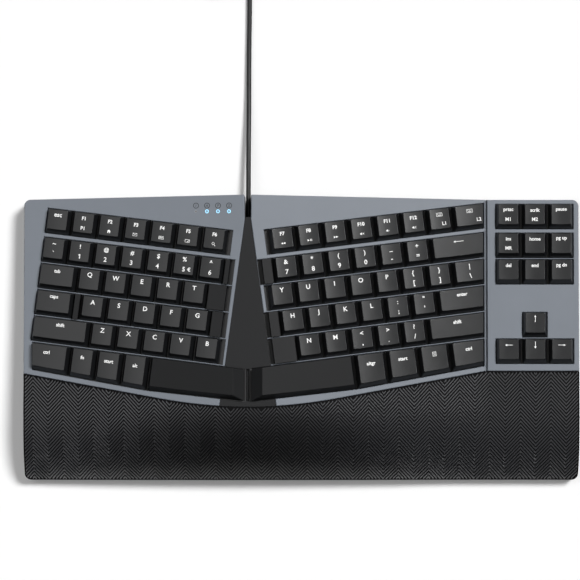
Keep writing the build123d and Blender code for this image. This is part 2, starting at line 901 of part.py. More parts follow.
link_x = chip_size / 2 + ribbon_thickness
link_low = part_low + ribbon_thickness
link_slot_z = floor_top + board_underside(ridge_x, ribbon_back_y) / 2
link_top = board_underside(ridge_x - ribbon_reach - link_x, ribbon_back_y + ribbon_width / 2) - fit_room
for side in (-1, 1):
    near = ridge_x + side * link_x
    away = ridge_x + side * (ribbon_reach + link_x)
    link_path = [(near, link_low), (near, link_slot_z), (away, link_slot_z), (away, link_top)]
    add("ribbon_links", ribbon(link_path, ribbon_back_y))
slot_wide = ribbon_width + 2 * fit_room
low = link_slot_z - ribbon_slot / 2
case -= block(2 * ribbon_reach, slot_wide, low, low + ribbon_slot, ridge_x, ribbon_back_y)
seam_left = seam_x - ribbon_reach / 2
seam_right = seam_x + ribbon_reach / 2 + ribbon_slot / 2
seam_slot_z = floor_top + ribbon_slot
left_top = board_underside(seam_left, ribbon_back_y + ribbon_width / 2) - fit_room
right_top = board_underside(seam_right, ribbon_back_y + ribbon_width / 2) - fit_room
seam_path = [(seam_left, left_top), (seam_left, seam_slot_z)]
seam_path += [(seam_right, seam_slot_z), (seam_right, right_top)]
add("ribbon_links", ribbon(seam_path, ribbon_back_y))
low = seam_slot_z - ribbon_slot / 2
slot_middle = (seam_left + seam_right) / 2
slot_long = seam_right - seam_left + ribbon_slot
case -= block(slot_long, slot_wide, low, low + ribbon_slot, slot_middle, ribbon_back_y)

# Status lights: clear pipes through the left frame, over a narrow light board
light_places = [on_deck(left_deck, -light_first_x + i * light_pitch, light_y) for i in range(light_count)]
for a, b in light_places:
    pipe = Pos(a, b, (plate_level + frame_level + light_proud) / 2)
    height = frame_level + light_proud - plate_level
    add("light_pipes", left_deck.location * pipe * Cylinder(light_pipe_width / 2, height))
    hole = Cylinder(light_pipe_width / 2 + light_pipe_room, height + 2 * overrun)
    frames["left"] -= left_deck.location * pipe * hole
light_a = (light_places[0][0] + light_places[-1][0]) / 2
light_b = (light_places[0][1] + light_places[-1][1]) / 2
light_length = light_places[-1][0] - light_places[0][0] + 2 * light_board_end
board = block(light_length, light_board_width, plate_under, plate_level, light_a, light_b)
add("status_light_board", left_deck.location * board)
room = 2 * fit_room
pocket_low = plate_level - light_pocket_depth
pocket = block(light_length + room, light_board_width + room, pocket_low, overrun, light_a, light_b)
case -= left_deck.location * pocket
ledge = block(light_board_end, light_board_width + room, pocket_low, plate_under)
for side in (-1, 1):
    x = light_a + side * (light_length - light_board_end) / 2
    case += left_deck.location * Pos(x, light_b, 0) * ledge


# Screws from below, each in a deep counterbore
def rod(radius, low, high, x, y):
    """Upright round bar."""
    return Pos(x, y, (low + high) / 2) * Cylinder(radius, high - low)


def screw(x, y, interface, bite):
    """Screw that clamps a piece over the case: its head's seat lies a fixed distance below the joint."""
    seat = interface - screw_seat
    head = rod(screw_head / 2, seat - screw_head_height, seat, x, y)
    return (head + rod(screw_shank / 2, seat - screw_head_height, interface + bite, x, y)).solid()


def screw_hole(x, y, interface):
    """Counterbore and clearance hole in the case."""
    seat = interface - screw_seat
    bore = rod(screw_head / 2 + screw_room, -overrun, seat, x, y)
    return bore + rod(screw_shank / 2 + screw_room, -overrun, 2 * far_z, x, y)


frame_screws = {
    "left": ((-0.276, 0.463), (-0.1115, 0.482)),
    "right": ((-0.081, 0.482), (0.075, 0.463)),
    "nav": ((0.3725, 0.142), (0.468, 0.142)),
}
for name, shares in frame_screws.items():
    for share_x, share_y in shares:
        x = share_x * case_width
        y = share_y * side_depth
        side = 0 if name == "nav" else tent_slope
        interface = deck_height(x, y) + plate_level * sqrt(1 + side**2 + rise_slope**2)
        add("case_screws", screw(x, y, interface, screw_bite))
        case -= screw_hole(x, y, interface)
        pilot_end = interface + screw_bite + screw_room
        frames[name] -= rod(screw_shank / 2 + pilot_room, interface - overrun, pilot_end, x, y)
palm_bite = palm_thickness - 2 * screw_room - palm_seat_gap
for share_x, share_y in palm_screw_shares:
    x = share_x * case_width
    y = share_y * side_depth
    interface = palm_height(x, y) - palm_thickness
    add("case_screws", screw(x, y, interface, palm_bite / 2))
    case -= screw_hole(x, y, interface)
    pilot_end = interface + palm_bite / 2 + screw_room
    palm -= rod(screw_shank / 2 + pilot_room, interface - 2 * overrun, pilot_end, x, y)
for name, frame in frames.items():
    add(f"top_frame_{name}", frame.solid())
add("palm_rest", palm.solid())

# Rubber feet, let into the floor
foot_x = case_width / 2 - foot_inset_x
for x in (-foot_x, ridge_x, foot_x):
    for y in (front_y + foot_inset_y, side_back_y - foot_inset_y - foot_width / 2):
        spot = Pos(x, y, 0)
        if x == ridge_x and y > 0:
            spot = Pos(x, notch_end_y - pocket_length - 2 * foot_inset_y, 0)
        foot = extrude(RectangleRounded(foot_length, foot_width, foot_corner), amount=foot_proud + foot_sunk)
        add("rubber_feet", spot * foot.solid())
        socket = RectangleRounded(foot_length + fit_room, foot_width + fit_room, foot_corner)
        case -= spot * extrude(socket, amount=foot_proud + foot_sunk)

# Strain relief in the notch: a tapered sleeve with a flange behind the wall
relief_start = notch_end_y
relief_axis = Plane(origin=(ridge_x, relief_start, cord_exit_height), x_dir=(1, 0, 0), z_dir=(0, 1, 0))
neck = pocket_back_wall
cone = Pos(0, 0, relief_length / 2) * Cone(relief_base / 2, relief_tip / 2, relief_length)
sleeve = cone + Pos(0, 0, -neck / 2) * Cylinder(relief_base / 2, neck)
flange = Cylinder(relief_flange / 2, relief_flange_thickness)
sleeve += Pos(0, 0, -neck - relief_flange_thickness / 2) * flange
add("strain_relief", (relief_axis.location * sleeve).solid())
relief_hole = Pos(0, 0, -neck / 2) * Cylinder(relief_base / 2 + light_pipe_room, neck + 2 * overrun)
case -= relief_axis.location * relief_hole
add("bottom_case", max(case.solids(), key=lambda piece: piece.volume))

# Cord: straight out of the notch and down to the desk, a coil behind the keyboard, and its tail
cord_start_y = notch_end_y + relief_length
desk_z = cord_width / 2
cord_points = [
    (ridge_x, cord_start_y, cord_exit_height),
    (ridge_x, 130, 7.4),
    (ridge_x + 0.3, 164, 3.2),
    (ridge_x + 0.2, 202, desk_z),
    (ridge_x + 0.9, 240, desk_z),
    (ridge_x + 0.4, 278, desk_z),
]
cord_points = [Vector(*p) for p in cord_points]


def bend_radii(points):
    """Bend of each corner: its ends lie a fixed share of the shorter run from the corner."""
    radii = []
    for before, corner, after in zip(points, points[1:], points[2:]):
        turn = radians((corner - before).get_angle(after - corner))
        shorter = min((corner - before).length, (after - corner).length)
        radii.append(bend_share * shorter / tan(turn / 2))
    return radii


def tube(points):
    """Round tube along straight runs joined by tangent arcs."""
    radii = bend_radii(points)
    path = FilletPolyline(*points, radius=radii)
    section = Plane(origin=points[0], z_dir=points[1] - points[0]) * Circle(cord_width / 2)
    solid = sweep(section, path=path)
    ratio = solid.volume / (pi * cord_width**2 / 4 * path.length)
    print("tube radii", [round(r) for r in radii], "length", round(path.length, 1))
    print("tube volume ratio", round(ratio, 4))
    return solid.solid(), path.length


# Coil: half turns whose centres swap sides, so that each layer spirals in or out, with a tilted half
# turn where the spiral reverses and climbs
half_turn_counts = (6, 6, 6, 5)


def coil_arcs():
    """Tangent half turns of the whole coil, and its end point."""
    step = (cord_width + coil_gap) / 2
    point = cord_points[-1]
    heading = Vector(0, 1, 0)
    radius = coil_radius
    change = -step
    arcs = []
    for layer, count in enumerate(half_turn_counts):
        for _ in range(count):
            inward = Vector(0, 0, 1).cross(heading)
            middle = point + inward * radius + heading * radius
            end = point + inward * (2 * radius)
            arcs.append(ThreePointArc(point, middle, end))
            point = end
            heading = -heading
            radius += change
        if layer + 1 < len(half_turn_counts):
            inward = Vector(0, 0, 1).cross(heading)
            rise = (cord_width + coil_gap) / (2 * radius)
            lean = inward * sqrt(1 - rise**2) + Vector(0, 0, rise)
            end = point + lean * (2 * radius)
            arcs.append(ThreePointArc(point, point + lean * radius + heading * radius, end))
            point = end
            heading = -heading
            change = -change
            radius += change
    return arcs, point


coil_edges, coil_end = coil_arcs()
coil_path = Wire([arc.edge() for arc in coil_edges])
coil_section = Plane(origin=cord_points[-1], z_dir=(0, 1, 0)) * Circle(cord_width / 2)
coil = sweep(coil_section, path=coil_path)
samples = []
for arc in coil_edges:
    samples.extend((arc @ (i / samples_per_arc)) for i in range(samples_per_arc))
least = min(
    (samples[i] - samples[j]).length
    for i in range(len(samples))
    for j in range(i + samples_per_arc, len(samples))
)
print("coil length", round(coil_path.length), "least gap between turns", round(least - cord_width, 2))
print("coil volume ratio", round(coil.volume / (pi * cord_width**2 / 4 * coil_path.length), 4))
add("cord_coil", coil.solid())
cord_solid, cord_length = tube(cord_points)
add("cord", cord_solid)

# Tail from the top of the coil down to the plug, which lies on the desk beside the coil
plug_z = plug_height / 2
tail_points = [
    coil_end,
    coil_end + Vector(0, 18, 0),
    coil_end + Vector(13.4, 31.4, -3.4),
    coil_end + Vector(32.4, 32.2, -7.6),
    Vector(coil_end.X + 51.4, coil_end.Y + 31.4, plug_z),
    Vector(coil_end.X + 69.4, coil_end.Y + 30, plug_z),
]
tail_solid, tail_length = tube(tail_points)
add("cord", tail_solid)
print("coil end", coil_end, "cord length in all", round(cord_length + coil_path.length + tail_length))
plug_axis = tail_points[-1] - tail_points[-2]
plug_plane = Plane(origin=tail_points[-1], x_dir=plug_axis.cross(Vector(0, 0, 1)), z_dir=plug_axis)


def plug_bar(width, height, low, high, corner):
    """Bar with rounded edges along the plug's axis."""
    bar = extrude(RectangleRounded(width, height, corner), amount=high - low)
    return plug_plane.location * Pos(0, 0, low) * bar


body_end = plug_neck_length + plug_length
mould = plug_bar(plug_neck_width, plug_neck_width, 0, plug_neck_length, plug_corner)
mould += plug_bar(plug_width, plug_height, plug_neck_length, body_end, plug_corner)
shell_start = body_end - shell_sunk
shell_end = shell_start + shell_length
shell_corner = plug_corner / 4
hollow_width = shell_width - 2 * shell_wall
hollow_height = shell_height - 2 * shell_wall
mould -= plug_bar(shell_width, shell_height, shell_start, body_end + overrun, shell_corner)
shell = plug_bar(shell_width, shell_height, shell_start, shell_end, shell_corner)
shell -= plug_bar(hollow_width, hollow_height, shell_start, shell_end, shell_corner / 2)
tongue_drop = (hollow_height - tongue_thickness) / 2
tongue_outline = Pos(0, tongue_drop) * RectangleRounded(hollow_width, tongue_thickness, shell_corner / 2)
tongue = extrude(tongue_outline, amount=tongue_length + shell_sunk)
tongue = plug_plane.location * Pos(0, 0, shell_start) * tongue
add("usb_plug", mould.solid())
add("usb_shell", shell.solid())
add("usb_tongue", tongue.solid())

for name, solids in nodes.items():
    print(name, len(solids))

os.makedirs("parts", exist_ok=True)
for name, solids in nodes.items():
    shape = solids[0] if len(solids) == 1 else Compound(children=solids)
    export_step(shape, f"parts/{name}.step")
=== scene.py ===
import json
from math import atan, cos, hypot, pi, radians, sin, sqrt, tan

import bmesh
import bpy
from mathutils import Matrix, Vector
from mathutils.bvhtree import BVHTree

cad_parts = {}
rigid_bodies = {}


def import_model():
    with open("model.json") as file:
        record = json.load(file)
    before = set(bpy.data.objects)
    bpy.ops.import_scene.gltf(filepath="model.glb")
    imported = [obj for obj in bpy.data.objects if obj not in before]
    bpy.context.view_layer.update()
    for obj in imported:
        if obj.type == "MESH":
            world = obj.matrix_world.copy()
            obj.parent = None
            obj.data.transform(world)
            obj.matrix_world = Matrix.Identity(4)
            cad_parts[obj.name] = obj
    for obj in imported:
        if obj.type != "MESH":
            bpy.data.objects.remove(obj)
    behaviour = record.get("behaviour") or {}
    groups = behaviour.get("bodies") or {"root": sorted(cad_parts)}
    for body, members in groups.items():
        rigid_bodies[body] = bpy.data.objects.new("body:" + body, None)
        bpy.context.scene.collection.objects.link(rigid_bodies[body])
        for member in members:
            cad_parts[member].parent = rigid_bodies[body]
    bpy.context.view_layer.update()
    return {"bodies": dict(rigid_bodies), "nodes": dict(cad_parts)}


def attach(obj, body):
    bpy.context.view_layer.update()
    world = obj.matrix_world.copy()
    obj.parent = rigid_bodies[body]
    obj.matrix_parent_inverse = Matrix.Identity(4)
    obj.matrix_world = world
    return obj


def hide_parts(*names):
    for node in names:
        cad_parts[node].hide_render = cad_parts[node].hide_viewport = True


# Ergonomic keyboard. Metres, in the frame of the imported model: X right, Y back, Z up.
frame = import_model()
nodes = frame["nodes"]
MM = 0.001

# Bottom case: a black moulded tray, with a coarser grain than the covers. It stands on the feet and
# carries everything, and the top frames are screwed to it from below.


class Value:
    """A shader socket that takes part in plain sums."""

    def __init__(self, tree, socket):
        self.tree = tree
        self.socket = socket

    def math(self, operation, *others):
        return shader_node(self.tree, "Math", dict(enumerate((self, *others))), operation=operation)

    def __add__(self, other):
        return self.math("ADD", other)

    def __sub__(self, other):
        return self.math("SUBTRACT", other)

    def __mul__(self, other):
        return self.math("MULTIPLY", other)

    __radd__ = __add__
    __rmul__ = __mul__

    def __rsub__(self, other):
        return self * -1 + other

    def clamped(self, low, high):
        return self.math("MAXIMUM", low).math("MINIMUM", high)


def join(tree, value, slot):
    """Feeds a value, a colour or a number into a socket."""
    if isinstance(value, Value):
        tree.links.new(value.socket, slot)
    else:
        slot.default_value = value


def shader_node(tree, kind, inputs, output=0, **settings):
    """Adds a node with its settings and its inputs, and gives one of its outputs."""
    node = tree.nodes.new("ShaderNode" + kind)
    for name, value in settings.items():
        setattr(node, name, value)
    for name, value in inputs.items():
        join(tree, value, node.inputs[name])
    return Value(tree, node.outputs[output]) if node.outputs else None


def srgb(code):
    """Linear colour of a six-digit code."""
    channels = [int(code[i:i + 2], 16) / 255 for i in (0, 2, 4)]
    return (*[c / 12.92 if c <= 0.04045 else ((c + 0.055) / 1.055) ** 2.4 for c in channels], 1)


class Surface:
    """A material on a Principled shader, with noise, mixing and bump in object space."""

    def __init__(self, name, roughness=0.5, metallic=0.0, **inputs):
        self.material = bpy.data.materials.new(name)
        self.material.use_nodes = True
        self.tree = self.material.node_tree
        self.shader = self.tree.nodes["Principled BSDF"]
        self.shader.inputs["Roughness"].default_value = roughness
        self.shader.inputs["Metallic"].default_value = metallic
        for key, value in inputs.items():
            self.shader.inputs[key.replace("_", " ")].default_value = value
        self.coords = shader_node(self.tree, "TexCoord", {}, "Object")

    def feed(self, name, value):
        join(self.tree, value, self.shader.inputs[name])

    def noise(self, grain, detail=2.0, stretch=(1, 1, 1)):
        """Noise from 0 to 1 whose grains have a size in metres."""
        placed = shader_node(self.tree, "Mapping", {"Vector": self.coords, "Scale": stretch})
        inputs = {"Vector": placed, "Scale": 1 / grain, "Detail": detail}
        return shader_node(self.tree, "TexNoise", inputs, "Fac")

    def mix(self, low, high, factor):
        """Blend of two colours."""
        return shader_node(self.tree, "Mix", {0: factor, 6: low, 7: high}, 2, data_type="RGBA")

    def bump(self, height, depth, strength=1.0):
        """Relief of a depth in metres."""
        inputs = {"Strength": strength, "Distance": depth, "Height": height}
        self.feed("Normal", shader_node(self.tree, "Bump", inputs))


CLOUD_SHARE = 0.7
ROUGH_BY_GRAIN = 0.16
ROUGH_BY_CLOUD = 0.08
SMOOTHEST = 0.05


def moulded(name, dark, light, roughness, grain, depth, cloud=25 * MM, **inputs):
    """Moulded plastic: a fine spark-eroded grain, and faint clouds in colour and gloss."""
    made = Surface(name, roughness, **inputs)
    clouds = made.noise(cloud, 3.0)
    fine = made.noise(grain, 3.0)
    shade = clouds * CLOUD_SHARE + fine * (1 - CLOUD_SHARE)
    made.feed("Base Color", made.mix(srgb(dark), srgb(light), shade))
    base = roughness - (ROUGH_BY_GRAIN + ROUGH_BY_CLOUD) / 2
    gloss = fine * ROUGH_BY_GRAIN + (clouds * ROUGH_BY_CLOUD + base)
    made.feed("Roughness", gloss.clamped(SMOOTHEST, 1.0))
    made.bump(fine, depth)
    return made.material


def dress(material, *names):
    """Gives CAD nodes a material."""
    for name in names:
        obj = nodes[name]
        if not obj.material_slots:
            obj.data.materials.append(material)
        for slot in obj.material_slots:
            slot.material = material


case_black = moulded("case_black_plastic", "17181a", "202124", 0.6, 0.6 * MM, 0.03 * MM)
dress(case_black, "bottom_case")

# Rubber feet: six pads punched from soft black rubber sheet, with adhesive backs. They are let into
# shallow seats in the underside of the tray.


def rubber(name, dark, light, roughness, grain, depth):
    """Soft black compound with a dull, slightly dusty face."""
    made = Surface(name, roughness)
    fine = made.noise(grain, 4.0)
    made.feed("Base Color", made.mix(srgb(dark), srgb(light), fine))
    made.feed("Roughness", fine * 0.15 + (roughness - 0.07))
    made.bump(fine, depth)
    return made.material


dress(rubber("foot_rubber", "1a1a1b", "262627", 0.85, 0.25 * MM, 0.02 * MM), "rubber_feet")

# Switch plates and circuit boards: black coated sheet steel, which holds the switches, over green
# laminate boards that rest on the tray's posts.


def sheet_steel():
    """Black coated plate: a fine orange peel over steel."""
    made = Surface("coated_steel", 0.4, 0.0, Coat_Weight=0.3)
    peel = made.noise(1.5 * MM, 2.0)
    made.feed("Base Color", made.mix(srgb("1b1b1c"), srgb("262627"), peel))
    made.bump(peel, 0.02 * MM)
    return made.material


def laminate():
    """Circuit board: green mask over copper pours, which show as a weave of lighter tracks."""
    made = Surface("board_laminate", 0.3)
    weave = made.noise(0.8 * MM, 2.0, (1, 0.2, 1))
    pours = made.noise(6 * MM, 1.0).math("GREATER_THAN", 0.5)
    tracks = pours * CLOUD_SHARE + weave * (1 - CLOUD_SHARE)
    made.feed("Base Color", made.mix(srgb("0c3a1c"), srgb("1c5a2c"), tracks))
    made.bump(pours, 0.03 * MM)
    return made.material


dress(sheet_steel(), "switch_plate_left", "switch_plate_right", "switch_plate_nav")
board_green = laminate()
dress(board_green, "circuit_board_left", "circuit_board_right", "circuit_board_nav")
dress(board_green, "controller_board", "status_light_board")

# Flat links: amber plastic film with copper lines printed along it. They are pushed into the boards'
# sockets and join the boards where the deck bends.


def ribbon_film():
    """Flat link: amber film with the copper lines that run along it."""
    made = Surface("ribbon_film", 0.3)
    lines = made.noise(0.5 * MM, 0.0, (0.02, 1, 0.02))
    made.feed("Base Color", made.mix(srgb("b98a3c"), srgb("d9b76a"), lines))
    made.bump(lines, 0.02 * MM)
    return made.material


dress(ribbon_film(), "ribbon_links")

# Switches: two black moulded housings, which click together and into the plates, around a return
# spring wound from bare steel wire.
switch_black = moulded("switch_black_plastic", "141414", "1c1c1c", 0.35, 0.5 * MM, 0.004 * MM)
dress(switch_black, "switch_bases", "switch_covers")


def drawn_steel(name, dark, light, roughness, grain):
    """Bare or plated steel, drawn or turned, with fine scratches."""
    made = Surface(name, roughness, 1.0)
    scratches = made.noise(grain, 3.0, (1, 1, 0.1))
    made.feed("Base Color", made.mix(srgb(dark), srgb(light), scratches))
    made.feed("Roughness", scratches * 0.2 + (roughness - 0.1))
    made.bump(scratches, 0.004 * MM)
    return made.material


dress(drawn_steel("spring_steel", "b8b8ba", "d5d5d6", 0.25, 0.2 * MM), "key_springs")

# Case screws: black plated steel, each in a deep counterbore of the tray. They are driven from below into
# the bosses of the top frames.
dress(drawn_steel("screw_black_steel", "2a2a2c", "3c3c3e", 0.4, 0.3 * MM), "case_screws")

# Top frames: three covers moulded in slate grey plastic, with a satin, finely eroded face. They close
# the tray around the keys, and the case screws hold them from below.
frame_grey = moulded("slate_grey_plastic", "6f757d", "797f88", 0.45, 0.35 * MM, 0.012 * MM)
dress(frame_grey, "top_frame_left", "top_frame_right", "top_frame_nav")

# Valley cover and filler blocks: dark grey mouldings with a dull face. The cover bridges the two key
# fields, and a block fills each gap in a row where no key stands. All are clipped in from above.
cover_dark = moulded("cover_dark_plastic", "0c0d0f", "131416", 0.6, 0.35 * MM, 0.01 * MM,
                     Specular_IOR_Level=0.35)
dress(cover_dark, "valley_cover", "filler_blocks")

# Palm rest: one black moulding, clipped to the front of the tray. Its dull face carries a herringbone
# of fine ribs in upright bands, moulded with it.
palm_black = moulded("palm_black_plastic", "040405", "070708", 0.7, 0.4 * MM, 0.01 * MM,
                     Specular_IOR_Level=0.12)
dress(palm_black, "palm_rest")

# Plan of the case: the ridge between the tented halves, the seam of the navigation field, the case's
# edges and the curved rim behind the palm rest, as in the part's source
RIDGE_X = -38.3 * MM
SEAM_X = 132.8 * MM
CASE_HALF = 199.5 * MM
CASE_FRONT = -102.6 * MM
CASE_CORNER = 4.5 * MM
RIM_FRONT = 48.7 * MM
RIM_RADIUS = 354.0 * MM
RIM_ARC_HALF = 62.0 * MM

# Ribs: width of a band, place of the first peak, slope, spacing up the band, section and margins
BAND = 10.93 * MM
FIRST_PEAK = -192.6 * MM
RIB_SLOPE = 1.09
RIB_PITCH = 2.68 * MM
RIB_HALF_BASE = 0.85 * MM
RIB_HALF_TOP = 0.3 * MM
RIB_HEIGHT = 0.35 * MM
RIB_SUNK = 0.03 * MM
RIB_STEPS = 5
RAY_TOP = 100 * MM
SIDE_MARGIN = 1.0 * MM
RIM_MARGIN = 0.95 * MM


def add_piece(name, mesh, body):
    """Links a mesh as a piece that rides on a body."""
    piece = bpy.data.objects.new(name, mesh)
    bpy.context.scene.collection.objects.link(piece)
    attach(piece, body)
    return piece


def surface_of(node):
    """Search tree of a node's mesh."""
    mesh = nodes[node].data
    return BVHTree.FromPolygons([v.co for v in mesh.vertices], [p.vertices for p in mesh.polygons])


def finished(mesh, name):
    """Blender mesh of a bmesh, with its normals out."""
    bmesh.ops.remove_doubles(mesh, verts=mesh.verts, dist=0.002 * MM)
    bmesh.ops.recalc_face_normals(mesh, faces=mesh.faces)
    made = bpy.data.meshes.new(name)
    mesh.to_mesh(made)
    mesh.free()
    return made


def rim_y(x):
    """Plan line between the key fields and the palm rest."""
    reach = sqrt(RIM_RADIUS**2 - RIM_ARC_HALF**2)
    distance = abs(min(x, SEAM_X) - RIDGE_X)
    if distance < RIM_ARC_HALF:
        return -RIM_FRONT + RIM_RADIUS - sqrt(RIM_RADIUS**2 - distance**2)
    return -RIM_FRONT + RIM_RADIUS - reach + (distance - RIM_ARC_HALF) * RIM_ARC_HALF / reach


def on_palm(x, y):
    """Whether a plan point lies on the ribbed face of the palm rest."""
    if abs(x) > CASE_HALF - SIDE_MARGIN or y < CASE_FRONT + SIDE_MARGIN:
        return False
    if y > rim_y(x) - RIM_MARGIN:
        return False
    out_x = abs(x) - (CASE_HALF - CASE_CORNER)
    out_y = CASE_FRONT + CASE_CORNER - y
    return out_x < 0 or out_y < 0 or hypot(out_x, out_y) < CASE_CORNER - SIDE_MARGIN


def rib_span(x0, y0, direction):
    """Shares of a band's width between which a rib lies on the face."""
    samples = 32
    inside = [i / samples for i in range(samples + 1)
              if on_palm(x0 + BAND * i / samples, y0 + direction * RIB_SLOPE * BAND * i / samples)]
    return (inside[0], inside[-1]) if len(inside) > 3 else None


def add_rib(mesh, tree, x0, y0, direction):
    """One rib across a band: a low bar with sloped sides, cut upright at both ends."""
    span = rib_span(x0, y0, direction)
    if span is None:
        return
    section = [(-RIB_HALF_BASE, -RIB_SUNK), (-RIB_HALF_TOP, RIB_HEIGHT)]
    section += [(-shift, height) for shift, height in reversed(section)]
    rows = []
    for step in range(RIB_STEPS + 1):
        share = span[0] + (span[1] - span[0]) * step / RIB_STEPS
        x = x0 + BAND * share
        y = y0 + direction * RIB_SLOPE * BAND * share
        crest = tree.ray_cast(Vector((x, y, RAY_TOP)), Vector((0, 0, -1)))[0]
        row = []
        for shift, height in section:
            hit = tree.ray_cast(Vector((x, y + shift, RAY_TOP)), Vector((0, 0, -1)))[0]
            level = (hit or crest).z + height
            row.append(mesh.verts.new((x, y + shift, level)))
        rows.append(row)
    for low, high in zip(rows, rows[1:]):
        for i in range(len(section) - 1):
            mesh.faces.new((low[i], high[i], high[i + 1], low[i + 1]))
        mesh.faces.new((low[0], low[-1], high[-1], high[0]))
    mesh.faces.new(rows[0])
    mesh.faces.new(rows[-1][::-1])


def palm_ribs():
    """All ribs of the herringbone as one mesh."""
    tree = surface_of("palm_rest")
    mesh = bmesh.new()
    first = FIRST_PEAK - BAND
    count = int((CASE_HALF - first) / BAND) + 1
    rows = int((BAND - RIM_FRONT - CASE_FRONT + BAND + 3 * RIM_ARC_HALF) / RIB_PITCH)
    for band in range(count):
        direction = 1 if band % 2 == 0 else -1
        x0 = first + band * BAND
        start = CASE_FRONT - (RIB_SLOPE * BAND if direction > 0 else 0)
        for i in range(rows):
            add_rib(mesh, tree, x0, start + i * RIB_PITCH, direction)
    return finished(mesh, "palm_ribs")


# Where wrists rest the ribs are worn and dull. Around that patch they have a thicker coat and a painted
# sheen, a lighter base colour: half width of the patch, its front and depth, and the most sheen around it
WEAR_AND_SHEEN_REACH = 130 * MM
WEAR_AND_SHEEN_FRONT = 95 * MM
WEAR_AND_SHEEN_DEPTH = 60 * MM
WEAR_AND_SHEEN_MOST = 0.9
RIB_ROUGHNESS = 0.3
RIB_ROUGH_BY_GRAIN = 0.14


def rib_plastic():
    """Rib face: the same black moulding, worn and dull in the middle and to the front, and around it
    glossier, with a painted sheen that lightens its base colour.
    """
    made = Surface("palm_rib_plastic", 0.36, Specular_IOR_Level=0.2, Coat_Roughness=0.32, Coat_IOR=1.7)
    fine = made.noise(0.3 * MM, 2.0)
    x = shader_node(made.tree, "SeparateXYZ", {0: made.coords}, "X")
    y = shader_node(made.tree, "SeparateXYZ", {0: made.coords}, "Y")
    across = (x - RIDGE_X).math("ABSOLUTE") * (1 / WEAR_AND_SHEEN_REACH)
    along = ((y + WEAR_AND_SHEEN_FRONT) * (1 / WEAR_AND_SHEEN_DEPTH)).clamped(0.0, 1.0)
    wear_and_painted_sheen = (across * across + along * along).clamped(0.0, WEAR_AND_SHEEN_MOST) + fine * (1 - WEAR_AND_SHEEN_MOST)
    # Painted sheen: the base colour lightens away from the middle and the front, where the ribs would
    # catch the light
    made.feed("Base Color", made.mix(srgb("0b0b0c"), srgb("2c2d30"), wear_and_painted_sheen))
    made.feed("Coat Weight", wear_and_painted_sheen)
    made.feed("Roughness", fine * RIB_ROUGH_BY_GRAIN + RIB_ROUGHNESS)
    made.bump(fine, 0.006 * MM)
    return made.material


ribs = add_piece("palm_rest_ribs", palm_ribs(), "case")
ribs.data.materials.append(rib_plastic())

# Keycaps: hollow caps of hard black plastic, pressed on the switch stems, which share the material.
# Their tops carry white printed legends, each a thin film of ink. The space bars are duller.
key_black = moulded("key_black_plastic", "131415", "1b1c1e", 0.32, 0.3 * MM, 0.012 * MM, cloud=9 * MM)

# Key decks: how they lean and turn, and where their tops lie, as in the part's source
TENT = tan(radians(6.5))
RISE = tan(radians(3.0))
YAW = radians(7.0)
KEY_TOP = 24.0 * MM
KEY_FIELD_Y = 40.0 * MM
LEFT, LEVEL, RIGHT = 1, 0, -1


class Deck:
    """A key deck: the plane through its key tops, with its row, column and outward directions."""

    def __init__(self, side):
        self.out = Vector((-side * TENT, RISE, 1)).normalized()
        along = Vector((1, 0, side * TENT)).normalized()
        back = self.out.cross(along)
        turn = -side * YAW
        self.along = along * cos(turn) + back * sin(turn)
        self.back = back * cos(turn) - along * sin(turn)
        crest = 0 if side == LEVEL else TENT * (SEAM_X - RIDGE_X)
        self.origin = Vector((RIDGE_X if side else SEAM_X, KEY_FIELD_Y, KEY_TOP + crest))

    def local(self, place):
        """Row, column and outward coordinates of a place."""
        arm = place - self.origin
        return arm.dot(self.along), arm.dot(self.back), arm.dot(self.out)

    def place(self, a, b, c=0.0):
        """Place of a row, column and outward coordinate."""
        return self.origin + self.along * a + self.back * b + self.out * c


decks = {LEFT: Deck(LEFT), LEVEL: Deck(LEVEL), RIGHT: Deck(RIGHT)}

# Print: how far a film stands off, where its rays start, and how a cap's top is told from its stem
INK_RISE = 0.03 * MM
RAY_START = 12 * MM
STEM_LIMIT = 14 * MM
TOP_BAND = 0.9 * MM


def glyph(text, size, weight=0.1):
    """Flat triangles of a short text, centred, in millimetres."""
    curve = bpy.data.curves.new("glyph", "FONT")
    curve.body = text
    curve.size = size
    curve.offset = weight
    curve.align_x = "CENTER"
    curve.align_y = "CENTER"
    curve.resolution_u = 4
    holder = bpy.data.objects.new("glyph", curve)
    mesh = bpy.data.meshes.new_from_object(holder)
    shapes = [[mesh.vertices[i].co.xy for i in face.vertices] for face in mesh.polygons]
    if shapes:
        ys = [p.y for shape in shapes for p in shape]
        middle = (max(ys) + min(ys)) / 2
        if len(text) == 1 and not text.isalnum():
            middle = 0.0
        shapes = [[(p.x, p.y - middle) for p in shape] for shape in shapes]
    bpy.data.objects.remove(holder)
    bpy.data.curves.remove(curve)
    bpy.data.meshes.remove(mesh)
    return shapes


def bar(x0, y0, x1, y1):
    """Upright rectangle."""
    return [[(x0, y0), (x1, y0), (x1, y1), (x0, y1)]]


def stroke(x0, y0, x1, y1, width=0.3):
    """Straight line with a width."""
    length = hypot(x1 - x0, y1 - y0)
    nx = (y0 - y1) / length * width / 2
    ny = (x1 - x0) / length * width / 2
    return [[(x0 - nx, y0 - ny), (x1 - nx, y1 - ny), (x1 + nx, y1 + ny), (x0 + nx, y0 + ny)]]


def arrow_head(x, depth, half=0.8):
    """Solid triangle with its tip at x."""
    return [[(x, 0), (x + depth, half), (x + depth, -half)]]


def ring(radius, width, x=0, y=0, steps=28):
    """Circle line."""
    quads = []
    for i in range(steps):
        angles = (2 * pi * i / steps, 2 * pi * (i + 1) / steps)
        inner = [(x + (radius - width) * cos(t), y + (radius - width) * sin(t)) for t in angles]
        outer = [(x + radius * cos(t), y + radius * sin(t)) for t in angles]
        quads.append([inner[0], outer[0], outer[1], inner[1]])
    return quads


